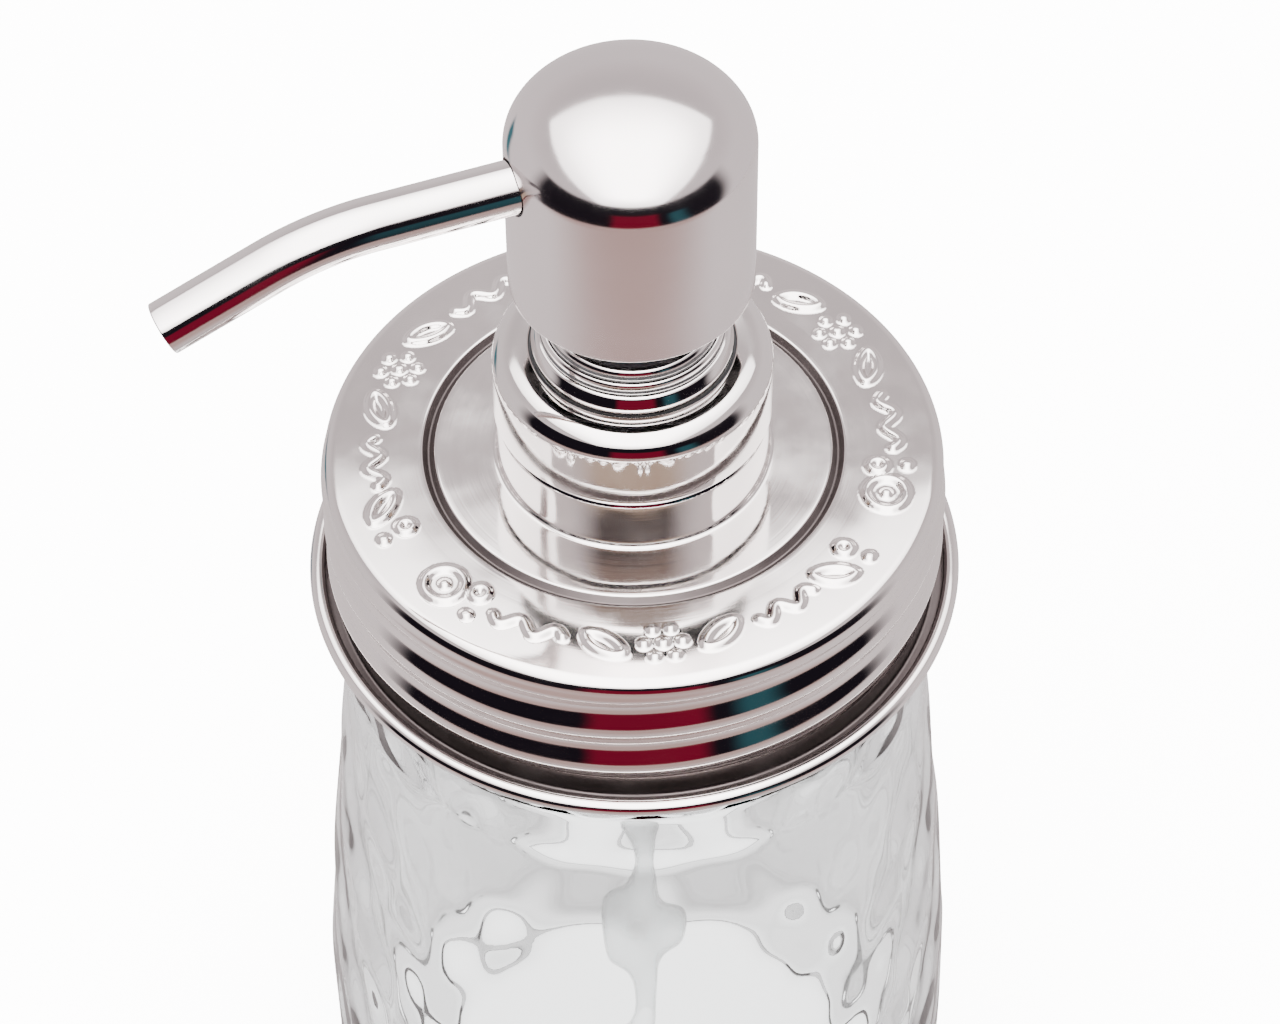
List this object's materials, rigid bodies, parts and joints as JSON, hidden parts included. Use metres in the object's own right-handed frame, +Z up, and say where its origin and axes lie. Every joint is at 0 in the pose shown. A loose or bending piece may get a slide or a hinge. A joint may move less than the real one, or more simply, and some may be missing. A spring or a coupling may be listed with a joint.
{
  "type": "soap pump dispenser",
  "caption": "Faceted glass jar with a pressed steel screw lid and a hand soap pump: domed steel press head, bent steel spout, sprung plunger, ball valves and dip tube.",
  "frame": {"origin": "middle of the jar's flat base, on the axis of the jar, lid and pump", "axes": "+Z up along the axis that the jar, lid and pump share; the spout points along -X at rest; +Y completes the right-handed frame"},
  "size_m": [0.0933, 0.0796, 0.1856],
  "materials": {
    "clear_glass": "clear pressed soda-lime glass with soft facets",
    "polished_steel": "stainless sheet and tube, polished nearly to a mirror",
    "ball_steel": "stainless valve balls and drawn spring wire",
    "white_plastic": "moulded white polypropylene",
    "black_plastic": "moulded black polypropylene with a fine satin skin",
    "milky_plastic": "unpigmented milky polyethylene",
    "silicone": "soft translucent silicone"
  },
  "bodies": {
    "jar": {"glass_jar": "clear_glass"},
    "lid_seal": {"jar_seal": "silicone"},
    "lid": {"screw_lid": "polished_steel", "neck_washer": "silicone", "neck_adapter": "black_plastic", "neck_nut": "black_plastic", "flange_washer": "silicone"},
    "pump": {"pump_housing": "milky_plastic", "dip_tube": "milky_plastic", "ball_cage": "white_plastic", "pump_spring": "ball_steel", "lock_ring": "black_plastic", "lock_ring_cover": "polished_steel"},
    "collar": {"collar_shell": "polished_steel", "collar_insert": "black_plastic"},
    "plunger": {"stem": "black_plastic", "piston": "milky_plastic", "outlet_stop": "white_plastic"},
    "head": {"head_shell": "polished_steel", "head_core": "black_plastic", "spout": "polished_steel"},
    "inlet_valve": {"inlet_ball": "ball_steel"},
    "outlet_valve": {"outlet_ball": "ball_steel"}
  },
  "joints": [
    {"name": "lid_rise", "type": "slide", "parent": "jar", "child": "lid_seal", "axis": [0, 0, 1], "range_m": [0, 0.008]},
    {"name": "lid_turn", "type": "hinge", "parent": "lid_seal", "child": "lid", "pos_m": [0, 0, 0.12], "axis": [0, 0, 1], "range_deg": [0, 450]},
    {"name": "pump_rise", "type": "slide", "parent": "lid", "child": "pump", "axis": [0, 0, 1], "range_m": [0, 0.0053]},
    {"name": "collar_turn", "type": "hinge", "parent": "pump", "child": "collar", "pos_m": [0, 0, 0.142], "axis": [0, 0, 1], "range_deg": [0, 450]},
    {"name": "press", "type": "slide", "parent": "pump", "child": "plunger", "axis": [0, 0, -1], "range_m": [0, 0.0095], "stiffness_N_per_m": 400, "springref_m": -0.012, "deforming": ["pump_spring"]},
    {"name": "head_turn", "type": "hinge", "parent": "plunger", "child": "head", "pos_m": [0, 0, 0.168], "axis": [0, 0, 1], "continuous": true},
    {"name": "inlet_lift", "type": "slide", "parent": "pump", "child": "inlet_valve", "axis": [0, 0, 1], "range_m": [0, 0.0013]},
    {"name": "outlet_lift", "type": "slide", "parent": "plunger", "child": "outlet_valve", "axis": [0, 0, 1], "range_m": [0, 0.0008]}
  ],
  "couplings": [
    {"joint": "lid_rise", "follows": "lid_turn", "m_per_rad": 0.0010106},
    {"joint": "pump_rise", "follows": "collar_turn", "m_per_rad": 0.00066845}
  ]
}
